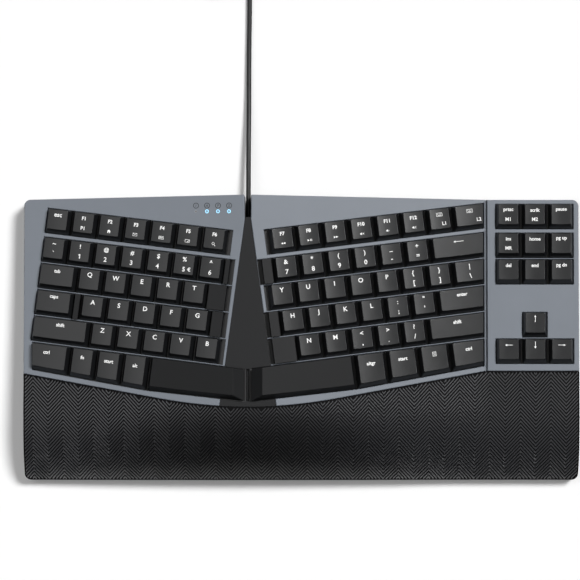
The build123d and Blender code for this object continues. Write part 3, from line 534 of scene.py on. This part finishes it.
def box_line(half_x, half_y, width=0.28):
    """Outline of a rectangle."""
    low = bar(-half_x, -half_y, half_x, -half_y + width)
    high = bar(-half_x, half_y - width, half_x, half_y)
    left = bar(-half_x, -half_y, -half_x + width, half_y)
    right = bar(half_x - width, -half_y, half_x, half_y)
    return low + high + left + right


def long_arrow(length, turn):
    """Arrow along a direction in quarter turns from the right."""
    shapes = stroke(-length / 2, 0, length / 2 - 1.0, 0, 0.42) + arrow_head(length / 2, -1.5, 0.85)
    c, s = [(1, 0), (0, 1), (-1, 0), (0, -1)][turn]
    return [[(x * c - y * s, x * s + y * c) for x, y in shape] for shape in shapes]


speaker = bar(-1.5, -0.4, -0.9, 0.4) + [[(-0.9, -0.4), (-0.2, -1.0), (-0.2, 1.0), (-0.9, 0.4)]]
icons = {
    "rewind": arrow_head(-1.7, 1.6) + arrow_head(-0.1, 1.6),
    "play": arrow_head(0.1, -1.6) + bar(0.5, -0.8, 0.9, 0.8) + bar(1.3, -0.8, 1.7, 0.8),
    "forward": arrow_head(1.7, -1.6) + arrow_head(0.1, -1.6),
    "mute": speaker + stroke(0.3, -0.55, 1.4, 0.55) + stroke(0.3, 0.55, 1.4, -0.55),
    "quieter": speaker + stroke(0.4, -0.4, 0.4, 0.4),
    "louder": speaker + stroke(0.4, -0.4, 0.4, 0.4) + stroke(1.0, -0.8, 1.0, 0.8),
    "home": [[(-1.4, 0.1), (1.4, 0.1), (0, 1.3)]] + bar(-1.0, -1.2, -0.35, 0.1) + bar(0.35, -1.2, 1.0, 0.1)
    + bar(-0.35, -0.4, 0.35, 0.1),
    "letter": box_line(1.6, 1.1) + stroke(-1.5, 1.0, 0, -0.1) + stroke(0, -0.1, 1.5, 1.0),
    "sheet": box_line(1.8, 1.1) + bar(-1.8, 0.0, 1.8, 0.3) + bar(-0.8, -1.1, -0.5, 1.1)
    + bar(0.5, -1.1, 0.8, 1.1),
    "screen": box_line(1.7, 1.1) + stroke(0.1, -0.7, 1.7, 1.0, 0.4),
    "find": ring(1.0, 0.3, -0.3, 0.35) + stroke(0.4, -0.35, 1.3, -1.3, 0.42),
    "menu": box_line(1.3, 1.6) + bar(-0.7, 0.6, 0.7, 0.85) + bar(-0.7, -0.1, 0.7, 0.15)
    + bar(-0.7, -0.8, 0.7, -0.55),
    "layout": box_line(2.2, 1.3) + bar(-1.4, 0.2, -0.9, 0.6) + bar(-0.25, 0.2, 0.25, 0.6)
    + bar(0.9, 0.2, 1.4, 0.6) + bar(-1.2, -0.65, 1.2, -0.3),
    "left": long_arrow(5.4, 2),
    "right": long_arrow(5.4, 0),
    "up": long_arrow(5.0, 1),
    "down": long_arrow(5.0, 3),
    "back": long_arrow(7.4, 2),
}

# Sizes of the legends, and their distances from the middle of a key top, in millimetres
CAPITAL = 4.5
DIGIT = 4.6
SIGN = 4.4
WORD = 3.5
SMALL = 3.5
ROUND_SIGN = 3.7
UPPER = 3.2
LOWER = -3.4
one = bar(0.05, -1.6, 0.7, 1.6) + stroke(-0.75, 0.75, 0.5, 1.4, 0.6)


def letter(text):
    return [(glyph(text, CAPITAL), 0, UPPER)]


def pair(upper, lower):
    size = ROUND_SIGN if upper == "@" else SIGN
    figure = one if lower == "1" else glyph(lower, DIGIT)
    return [(glyph(upper, size), 0, UPPER + 0.3), (figure, 0, LOWER)]


def word(text, across=0.0):
    return [(glyph(text, WORD, 0.1), across, UPPER)]


def function(text, icon):
    lower = icons[icon] if icon in icons else glyph(icon, SMALL, 0.11)
    return [(glyph(text, SMALL, 0.13), 0, UPPER), (lower, 0, LOWER - 0.4)]


def picture(icon, height=UPPER):
    return [(icons[icon], 0, height)]


def words_and_mark(text, mark):
    return [(glyph(text, WORD, 0.1), 0, UPPER), (glyph(mark, SMALL, 0.1), 0, LOWER)]


def layout_key(mark, across):
    return [(icons["layout"], 0, UPPER), (glyph(mark, SMALL, 0.1), across, LOWER)]


legends = {
    LEFT: {
        "esc_key": [[(glyph("esc", 4.4, 0.11), 0, UPPER)]],
        "function_keys_left": [
            function("F1", "P1"), function("F2", "home"), function("F3", "letter"),
            function("F4", "sheet"), function("F5", "screen"), function("F6", "find"),
        ],
        "number_keys_left": [
            pair("~", "`"), pair("!", "1"), pair("@", "2"), pair("#", "3"), pair("$", "4"),
            pair("%", "5") + [(glyph("\u20ac", SMALL), 3.9, LOWER)], pair("^", "6"),
        ],
        "tab_key": [word("tab")],
        "upper_letters_left": [letter(c) for c in "QWERT"],
        "caps_lock_key": [word("caps")],
        "home_letters_left": [letter(c) for c in "ASDFG"],
        "shift_key_left": [word("shift")],
        "lower_letters_left": [letter(c) for c in "ZXCVB"],
        "ctrl_key_left": [word("ctrl", -1.6)],
        "modifier_keys_left": [word("fn"), word("start"), word("alt")],
    },
    RIGHT: {
        "function_keys_right": [
            function("F7", "rewind"), function("F8", "play"), function("F9", "forward"),
            function("F10", "mute"), function("F11", "quieter"), function("F12", "louder"),
            layout_key("L1", 3.0), layout_key("L2", 6.0),
        ],
        "number_keys_right": [
            pair("&", "7"), pair("*", "8"), pair("(", "9"), pair(")", "0"), pair("_", "-"), pair("+", "="),
        ],
        "backspace_key": [picture("back")],
        "upper_letters_right": [letter(c) for c in "YUIOP"] + [pair("{", "["), pair("}", "]")],
        "backslash_key": [pair("|", "\\")],
        "home_letters_right": [letter(c) for c in "HJKL"] + [pair(":", ";"), pair('"', "'")],
        "enter_key": [word("enter")],
        "lower_letters_right": [letter("N"), letter("M"), pair("<", ","), pair(">", "."), pair("?", "/")],
        "shift_key_right": [word("shift")],
        "modifier_keys_right": [word("altgr"), word("start"), picture("menu")],
        "ctrl_key_right": [word("ctrl")],
    },
    LEVEL: {
        "navigation_keys": [
            words_and_mark("prtsc", "M1"), words_and_mark("scrlk", "M2"), word("pause"),
            words_and_mark("ins", "MR"), word("home"), word("pg up"),
            word("del"), word("end"), word("pg dn"),
        ],
        "up_arrow_key": [picture("up")],
        "left_arrow_key": [picture("left")],
        "down_arrow_key": [picture("down")],
        "right_arrow_key": [picture("right")],
    },
}


def lay(mesh, shapes, deck, tree, a, b):
    """Adds flat shapes, in millimetres about a deck point, to a mesh as a film on the surface below."""
    for shape in shapes:
        corners = []
        for x, y in shape:
            start = deck.place(a + x * MM, b + y * MM, RAY_START)
            hit = tree.ray_cast(start, -deck.out)[0]
            if hit is None:
                break
            corners.append(mesh.verts.new(hit + deck.out * INK_RISE))
        if len(corners) == len(shape):
            mesh.faces.new(corners)


def shells(node):
    """Groups of a node's mesh points that hang together, one for each solid."""
    mesh = nodes[node].data
    welded = {}
    root = list(range(len(mesh.vertices)))

    def find(i):
        while root[i] != i:
            root[i] = root[root[i]]
            i = root[i]
        return i

    for vertex in mesh.vertices:
        key = tuple(round(c / (0.001 * MM)) for c in vertex.co)
        root[find(vertex.index)] = find(welded.setdefault(key, vertex.index))
    for edge in mesh.edges:
        root[find(edge.vertices[0])] = find(edge.vertices[1])
    groups = {}
    for vertex in mesh.vertices:
        groups.setdefault(find(vertex.index), []).append(vertex.co.copy())
    return list(groups.values())


def cap_tops(node, deck):
    """Middle of each cap's top, row by row from the back and from the left."""
    middles = []
    for points in shells(node):
        local = [deck.local(p) for p in points]
        across = [a for a, _, _ in local]
        if max(across) - min(across) < STEM_LIMIT:
            continue
        crest = max(c for _, _, c in local) - TOP_BAND
        across = [a for a, _, c in local if c > crest]
        along = [b for _, b, c in local if c > crest]
        middles.append(((min(across) + max(across)) / 2, (min(along) + max(along)) / 2))
    middles.sort(key=lambda m: (-round(m[1] / (10 * MM)), m[0]))
    return middles


def white_ink():
    """Legend ink: matt white print with slightly uneven cover."""
    made = Surface("legend_white_ink", 0.5)
    cover = made.noise(0.4 * MM, 2.0)
    made.feed("Base Color", made.mix(srgb("f0f0ef"), srgb("fcfcfb"), cover))
    made.bump(cover, 0.003 * MM)
    return made.material


ink = white_ink()
for side, table in legends.items():
    deck = decks[side]
    for node, keys in table.items():
        tree = surface_of(node)
        film = bmesh.new()
        tops = cap_tops(node, deck)
        assert len(tops) == len(keys), (node, len(tops), len(keys))
        for (a, b), marks in zip(tops, keys):
            for shapes, across, up in marks:
                lay(film, shapes, deck, tree, a + across * MM, b + up * MM)
        piece = add_piece(node + "_legends", finished(film, node + "_legends"), node)
        piece.data.materials.append(ink)
for body in frame["bodies"]:
    if body in nodes and body != "case":
        dress(key_black, body)
bar_black = moulded("space_bar_plastic", "0c0d0e", "121315", 0.55, 0.3 * MM, 0.014 * MM,
                    Specular_IOR_Level=0.25)
dress(bar_black, "space_bar_left", "space_bar_right")

# Status lights: clear pipes over the small light board, flush with the left frame. The first is dark and
# the others glow blue, with a ring of painted glow on the frame around each of them. A round sign is
# printed in grey ink above each.
LIT = (1, 2, 3)

# Sizes of the marks on and above a pipe, the ring of painted glow on the frame among them; the radii and
# widths are in millimetres
SIGN_RISE = 4.1 * MM
LENS = 0.72
PAINTED_GLOW_RING = 1.35
PAINTED_GLOW_WIDTH = 0.42
SIGN_RING = 2.1
SIGN_WIDTH = 0.55
SIGN_SIZE = 2.6


def lit_pipe(name, colour, strength):
    """Clear plastic, with the glow of the light below it; also the painted glow laid on the frame around a
    lit pipe.
    """
    made = Surface(name, 0.2, Coat_Weight=0.4)
    haze = made.noise(0.5 * MM, 2.0)
    made.feed("Base Color", made.mix(srgb(colour), srgb("ffffff"), haze * 0.3))
    if strength:
        made.shader.inputs["Emission Color"].default_value = srgb(colour)
        made.shader.inputs["Emission Strength"].default_value = strength
    return made.material


def light_places():
    """Deck coordinates of the light pipes, from the left."""
    deck = decks[LEFT]
    places = []
    for points in shells("light_pipes"):
        local = [deck.local(p) for p in points]
        places.append((sum(a for a, _, _ in local) / len(local), sum(b for _, b, _ in local) / len(local)))
    return sorted(places)


def disc(radius, steps=20):
    """Filled circle."""
    return [[(radius * cos(2 * pi * i / steps), radius * sin(2 * pi * i / steps)) for i in range(steps)]]


dress(lit_pipe("clear_pipe", "9aa0a6", 0.0), "light_pipes")
pipes = surface_of("light_pipes")
face = surface_of("top_frame_left")
printed = bmesh.new()
glow = bmesh.new()
dark = bmesh.new()
pupils = bmesh.new()
for index, (a, b) in enumerate(light_places()):
    lay(pupils if index in LIT else dark, disc(LENS), decks[LEFT], pipes, a, b)
    if index in LIT:
        # Painted glow: a ring of light laid on the frame's face around each lit pipe
        lay(glow, ring(PAINTED_GLOW_RING, PAINTED_GLOW_WIDTH), decks[LEFT], face, a, b)
    across = a - SIGN_RISE * sin(YAW)
    lay(printed, ring(SIGN_RING, SIGN_WIDTH), decks[LEFT], face, across, b + SIGN_RISE)
    lay(printed, glyph("1AFS"[index], SIGN_SIZE, 0.06), decks[LEFT], face, across, b + SIGN_RISE)


def grey_ink():
    """Ink of the light signs: a darker grey than the frame."""
    made = Surface("sign_grey_ink", 0.5)
    cover = made.noise(0.4 * MM, 2.0)
    made.feed("Base Color", made.mix(srgb("33373c"), srgb("3d4146"), cover))
    return made.material


signs = add_piece("light_signs", finished(printed, "light_signs"), "case")
signs.data.materials.append(grey_ink())
# The painted glow rings: the frame around the lit pipes glows, though it is no lamp
painted_glow_piece = add_piece("painted_glow_rims", finished(glow, "painted_glow_rims"), "case")
painted_glow_piece.data.materials.append(lit_pipe("painted_glow_rim", "7fcdf0", 0.9))
centres = add_piece("lit_centres", finished(pupils, "lit_centres"), "case")
centres.data.materials.append(lit_pipe("lit_centre", "2c6f96", 0.6))
unlit = add_piece("dark_lens", finished(dark, "dark_lens"), "case")
unlit.data.materials.append(lit_pipe("unlit_lens", "1d2024", 0.0))

# Strain relief and plug: soft black mouldings on the ends of the cord, with the plug's folded steel
# shell and the white tongue inside it.
cord_black = rubber("cord_jacket", "0d0d0e", "151516", 0.42, 0.3 * MM, 0.006 * MM)
dress(cord_black, "strain_relief", "usb_plug")


def plated_shell():
    """Plug shell: folded and plated sheet steel with a soft reflection."""
    made = Surface("plated_steel", 0.22, 1.0)
    haze = made.noise(2 * MM, 3.0)
    made.feed("Base Color", made.mix(srgb("c3c4c7"), srgb("dcdde0"), haze))
    made.feed("Roughness", haze * 0.12 + 0.16)
    made.bump(haze, 0.005 * MM)
    return made.material


dress(plated_shell(), "usb_shell")
dress(moulded("tongue_white_plastic", "d8d8d6", "e6e6e4", 0.4, 0.4 * MM, 0.003 * MM), "usb_tongue")

# Cord: a round cable in a black soft jacket. It runs straight out of the notch, down to the desk and
# into a wound coil, then off its top to the plug. The route's points are those of the part's source;
# the coil's are on the tangents of its half turns. Sizes in this section are in millimetres.
CORD_WIDTH = 3.5
COIL_GAP = 0.45
COIL_RADIUS = 24.2
HALF_TURNS = (6, 6, 6, 5)
POINTS_PER_HALF = 8
ridge = RIDGE_X / MM
lead = [
    (ridge, 98.5, 9.0),
    (ridge, 130, 7.4),
    (ridge + 0.3, 164, 3.2),
    (ridge + 0.2, 202, 1.75),
    (ridge + 0.9, 240, 1.75),
    (ridge + 0.4, 278, 1.75),
]


def coil_points():
    """Control points of the coil's half turns, its end point included."""
    step = (CORD_WIDTH + COIL_GAP) / 2
    point = Vector(lead[-1])
    heading = Vector((0, 1, 0))
    radius = COIL_RADIUS
    change = -step
    points = []

    def half_turn(lean):
        for i in range(POINTS_PER_HALF):
            angle = pi * (i + 0.5) / POINTS_PER_HALF
            arm = radius / cos(pi / 2 / POINTS_PER_HALF)
            points.append(point + lean * (radius - arm * cos(angle)) + heading * (arm * sin(angle)))
        return point + lean * (2 * radius)

    for layer, count in enumerate(HALF_TURNS):
        for _ in range(count):
            point = half_turn(Vector((0, 0, 1)).cross(heading))
            heading = -heading
            radius += change
        if layer + 1 < len(HALF_TURNS):
            rise = step / radius
            inward = Vector((0, 0, 1)).cross(heading)
            point = half_turn(inward * sqrt(1 - rise**2) + Vector((0, 0, rise)))
            heading = -heading
            change = -change
            radius += change
    return points, point


turns, coil_end = coil_points()
PLUG_Z = 3.8
tail = [
    coil_end + Vector((0, 18, 0)),
    coil_end + Vector((13.4, 31.4, -3.4)),
    coil_end + Vector((32.4, 32.2, -7.6)),
    Vector((coil_end.x + 51.4, coil_end.y + 31.4, PLUG_Z)),
    Vector((coil_end.x + 69.4, coil_end.y + 30, PLUG_Z)),
]
route = [Vector(p) for p in lead[:-1]] + turns + tail


def cord_curve():
    """The whole cord as one smooth round curve."""
    curve = bpy.data.curves.new("cord", "CURVE")
    curve.dimensions = "3D"
    curve.bevel_depth = CORD_WIDTH / 2
    curve.bevel_resolution = 4
    curve.use_fill_caps = True
    spline = curve.splines.new("NURBS")
    spline.points.add(len(route) - 1)
    for slot, place in zip(spline.points, route):
        slot.co = (*(place * MM), 1)
        slot.radius = MM
    spline.order_u = 3
    spline.use_endpoint_u = True
    spline.resolution_u = 5
    return curve


cord = add_piece("cord_line", cord_curve(), "case")
cord.data.materials.append(cord_black)
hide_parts("cord", "cord_coil")

# Floor: a plain pale sheet, just under the feet, that stays white to the camera and keeps the shadows.


FLOOR_WHITE = (0.97, 0.97, 0.97, 1)
FLOOR_GLOW = 0.09
FLOOR_HALF = 4.0
FLOOR_DROP = 0.1 * MM


def floor_material():
    """White floor, with part of its brightness fixed for the camera."""
    material = bpy.data.materials.new("studio_floor")
    material.use_nodes = True
    tree = material.node_tree
    tree.nodes.clear()
    seen = shader_node(tree, "LightPath", {}, "Is Camera Ray")
    for other in ("Is Glossy Ray", "Is Transmission Ray"):
        seen = seen.math("MAXIMUM", shader_node(tree, "LightPath", {}, other))
    matt = shader_node(tree, "BsdfDiffuse", {"Color": FLOOR_WHITE})
    bright = shader_node(tree, "Emission", {})
    mixed = shader_node(tree, "MixShader", {0: seen * FLOOR_GLOW, 1: matt, 2: bright})
    shader_node(tree, "OutputMaterial", {0: mixed})
    return material


def add_floor():
    """Large square just under the feet."""
    half = FLOOR_HALF
    mesh = bpy.data.meshes.new("floor")
    corners = [(-half, -half, 0), (half, -half, 0), (half, half, 0), (-half, half, 0)]
    mesh.from_pydata(corners, [], [(0, 1, 2, 3)])
    floor = bpy.data.objects.new("floor", mesh)
    floor.location.z = -FLOOR_DROP
    bpy.context.scene.collection.objects.link(floor)
    mesh.materials.append(floor_material())


add_floor()

# Light: a soft sun from behind on the right, and a sky that glows overhead and to the left.
SUN_FROM = Vector((0.46, 0.4, 0.8))
SUN_POWER = 2.95
SUN_SPREAD = radians(18)
GLOW_FROM = Vector((-0.47, 0.15, 0.87)).normalized()
GLOW_NARROWNESS = 14.0
GLOW_POWER = 2.4
OVERHEAD_NARROWNESS = 3.0
OVERHEAD_POWER = 0.2
SKY_POWER = 0.03


def add_sun():
    """Broad sun whose shadows fall to the left and to the front."""
    lamp = bpy.data.lights.new("sun", "SUN")
    lamp.energy = SUN_POWER
    lamp.angle = SUN_SPREAD
    holder = bpy.data.objects.new("sun", lamp)
    holder.rotation_euler = SUN_FROM.to_track_quat("Z", "Y").to_euler()
    bpy.context.scene.collection.objects.link(holder)


add_sun()


def light_sky():
    """Sky: plain white to the camera, a soft overhead glow to the object."""
    world = bpy.data.worlds.new("studio")
    bpy.context.scene.world = world
    world.use_nodes = True
    tree = world.node_tree
    tree.nodes.clear()
    coords = shader_node(tree, "TexCoord", {}, "Generated")

    def lobe(centre, power):
        """Brightness that falls off around a direction."""
        inputs = {0: coords, 1: centre}
        towards = shader_node(tree, "VectorMath", inputs, "Value", operation="DOT_PRODUCT")
        return towards.clamped(0.0, 1.0).math("POWER", power)

    overhead = lobe(Vector((0, 0, 1)), OVERHEAD_NARROWNESS) * OVERHEAD_POWER
    left_glow = lobe(GLOW_FROM, GLOW_NARROWNESS) * GLOW_POWER
    soft = shader_node(tree, "Background", {"Strength": left_glow + overhead + SKY_POWER})
    plain = shader_node(tree, "Background", {"Color": (1, 1, 1, 1)})
    seen = shader_node(tree, "LightPath", {}, "Is Camera Ray")
    shader_node(tree, "OutputWorld", {0: shader_node(tree, "MixShader", {0: seen, 1: soft, 2: plain})})


light_sky()

# Camera: two metres straight above the key tops, as the photograph was taken
FOCAL_PIXELS = 2787.5
FRAME_PIXELS = 580
CAMERA_AT = (-8.25 * MM, 34.5 * MM, 2.024)
lens = bpy.data.cameras.new("camera")
lens.sensor_fit = "HORIZONTAL"
lens.angle = 2 * atan(FRAME_PIXELS / 2 / FOCAL_PIXELS)
lens.clip_end = 20
camera = bpy.data.objects.new("camera", lens)
camera.location = CAMERA_AT
bpy.context.scene.collection.objects.link(camera)
bpy.context.scene.camera = camera
bpy.context.scene.view_settings.view_transform = "Standard"
